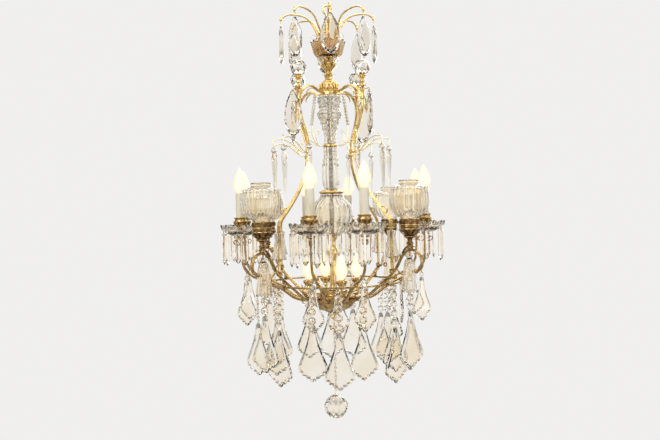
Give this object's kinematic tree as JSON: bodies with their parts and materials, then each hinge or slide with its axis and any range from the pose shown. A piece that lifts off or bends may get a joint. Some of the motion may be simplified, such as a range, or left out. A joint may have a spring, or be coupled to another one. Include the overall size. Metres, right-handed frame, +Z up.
{
  "type": "crystal chandelier",
  "caption": "Crystal cage chandelier with gilt ribs round a cut-glass column, candle and globe arms, and tiers of hanging prisms and plaques.",
  "frame": {"origin": "centre of the bore of the hanging eye, where the chandelier is hung", "axes": "+Z up along the central rod, +Y along the bore of the hanging eye, -Y towards the viewer"},
  "size_m": [0.6046, 0.6046, 1.1571],
  "materials": {
    "gilt_brass": "aged gilt, softly polished",
    "dark_bronze": "dark antique patina",
    "steel_rod": "satin",
    "crystal": "clear, cut and polished",
    "cut_glass": "clear, fluted",
    "amber_cut_glass": "amber, cut",
    "candle_ivory": "satin ivory",
    "lampholder_white": "moulded",
    "lit_lamp": "frosted, lit"
  },
  "bodies": {
    "frame": {"hanging_eye": "gilt_brass", "stem_rod": "steel_rod", "crown_plate": "gilt_brass", "crown_cup": "amber_cut_glass", "crown_arms": "gilt_brass", "neck_ball": "gilt_brass", "upper_hub": "gilt_brass", "column_upper": "cut_glass", "column_collar": "gilt_brass", "column_lower": "cut_glass", "centre_plate": "gilt_brass", "centre_vase": "cut_glass", "stem_tube": "gilt_brass", "lower_hub": "dark_bronze", "bottom_nut": "gilt_brass", "cage_ribs": "gilt_brass", "finials": "gilt_brass", "finial_balls": "crystal", "branch_wires": "gilt_brass", "icicles": "crystal", "inner_arms": "gilt_brass", "inner_cups": "gilt_brass", "inner_bulbs": "lit_lamp", "globe_arms": "dark_bronze", "globe_galleries": "dark_bronze", "globe_shades": "cut_glass", "fluted_bells": "cut_glass", "fluted_drops": "cut_glass", "bead_chains": "crystal", "shoulder_drops": "crystal", "crystal_hoop": "dark_bronze", "candle_arms": "dark_bronze", "bobeches": "cut_glass", "candle_cups": "dark_bronze", "candle_sleeves": "candle_ivory", "lampholders": "lampholder_white", "candle_bulbs": "lit_lamp", "prisms": "crystal", "candle_plaques": "crystal", "globe_plaques": "crystal", "side_plaques": "crystal", "inner_drops": "crystal"},
    "ball_string": {"ball_string": "crystal"},
    "bottom_ball": {"bottom_ball": "crystal"},
    "crown_drop_1": {"crown_drop_1": "crystal"},
    "long_drop_1": {"long_drop_1": "crystal"},
    "crown_drop_2": {"crown_drop_2": "crystal"},
    "long_drop_2": {"long_drop_2": "crystal"},
    "crown_drop_3": {"crown_drop_3": "crystal"},
    "long_drop_3": {"long_drop_3": "crystal"},
    "crown_drop_4": {"crown_drop_4": "crystal"},
    "long_drop_4": {"long_drop_4": "crystal"},
    "crown_drop_5": {"crown_drop_5": "crystal"},
    "long_drop_5": {"long_drop_5": "crystal"},
    "crown_drop_6": {"crown_drop_6": "crystal"},
    "long_drop_6": {"long_drop_6": "crystal"},
    "crown_drop_7": {"crown_drop_7": "crystal"},
    "long_drop_7": {"long_drop_7": "crystal"},
    "crown_drop_8": {"crown_drop_8": "crystal"},
    "long_drop_8": {"long_drop_8": "crystal"}
  },
  "joints": [
    {"name": "crown_drop_1_swing", "type": "hinge", "parent": "frame", "child": "crown_drop_1", "pos_m": [0, -0.13, -0.036], "axis": [-1, 0, 0], "range_deg": [-20, 20]},
    {"name": "crown_drop_2_swing", "type": "hinge", "parent": "frame", "child": "crown_drop_2", "pos_m": [0.09192, -0.09192, -0.036], "axis": [-0.7071, -0.7071, 0], "range_deg": [-20, 20]},
    {"name": "crown_drop_3_swing", "type": "hinge", "parent": "frame", "child": "crown_drop_3", "pos_m": [0.13, 0, -0.036], "axis": [0, -1, 0], "range_deg": [-20, 20]},
    {"name": "crown_drop_4_swing", "type": "hinge", "parent": "frame", "child": "crown_drop_4", "pos_m": [0.09192, 0.09192, -0.036], "axis": [0.7071, -0.7071, 0], "range_deg": [-20, 20]},
    {"name": "crown_drop_5_swing", "type": "hinge", "parent": "frame", "child": "crown_drop_5", "pos_m": [0, 0.13, -0.036], "axis": [1, 0, 0], "range_deg": [-20, 20]},
    {"name": "crown_drop_6_swing", "type": "hinge", "parent": "frame", "child": "crown_drop_6", "pos_m": [-0.09192, 0.09192, -0.036], "axis": [0.7071, 0.7071, 0], "range_deg": [-20, 20]},
    {"name": "crown_drop_7_swing", "type": "hinge", "parent": "frame", "child": "crown_drop_7", "pos_m": [-0.13, 0, -0.036], "axis": [0, 1, 0], "range_deg": [-20, 20]},
    {"name": "crown_drop_8_swing", "type": "hinge", "parent": "frame", "child": "crown_drop_8", "pos_m": [-0.09192, -0.09192, -0.036], "axis": [-0.7071, 0.7071, 0], "range_deg": [-20, 20]},
    {"name": "long_drop_1_swing", "type": "hinge", "parent": "frame", "child": "long_drop_1", "pos_m": [0, -0.212, -0.7664], "axis": [-1, 0, 0], "range_deg": [-6, 10]},
    {"name": "long_drop_2_swing", "type": "hinge", "parent": "frame", "child": "long_drop_2", "pos_m": [0.14991, -0.14991, -0.7664], "axis": [-0.7071, -0.7071, 0], "range_deg": [-6, 10]},
    {"name": "long_drop_3_swing", "type": "hinge", "parent": "frame", "child": "long_drop_3", "pos_m": [0.212, 0, -0.7664], "axis": [0, -1, 0], "range_deg": [-6, 10]},
    {"name": "long_drop_4_swing", "type": "hinge", "parent": "frame", "child": "long_drop_4", "pos_m": [0.14991, 0.14991, -0.7664], "axis": [0.7071, -0.7071, 0], "range_deg": [-6, 10]},
    {"name": "long_drop_5_swing", "type": "hinge", "parent": "frame", "child": "long_drop_5", "pos_m": [0, 0.212, -0.7664], "axis": [1, 0, 0], "range_deg": [-6, 10]},
    {"name": "long_drop_6_swing", "type": "hinge", "parent": "frame", "child": "long_drop_6", "pos_m": [-0.14991, 0.14991, -0.7664], "axis": [0.7071, 0.7071, 0], "range_deg": [-6, 10]},
    {"name": "long_drop_7_swing", "type": "hinge", "parent": "frame", "child": "long_drop_7", "pos_m": [-0.212, 0, -0.7664], "axis": [0, 1, 0], "range_deg": [-6, 10]},
    {"name": "long_drop_8_swing", "type": "hinge", "parent": "frame", "child": "long_drop_8", "pos_m": [-0.14991, -0.14991, -0.7664], "axis": [-0.7071, 0.7071, 0], "range_deg": [-6, 10]},
    {"name": "ball_string_swing", "type": "hinge", "parent": "frame", "child": "ball_string", "pos_m": [0, 0, -0.8686], "axis": [0, 1, 0], "range_deg": [-12, 12]},
    {"name": "bottom_ball_swing", "type": "hinge", "parent": "ball_string", "child": "bottom_ball", "pos_m": [0, 0, -1.0672], "axis": [1, 0, 0], "range_deg": [-20, 20]}
  ]
}
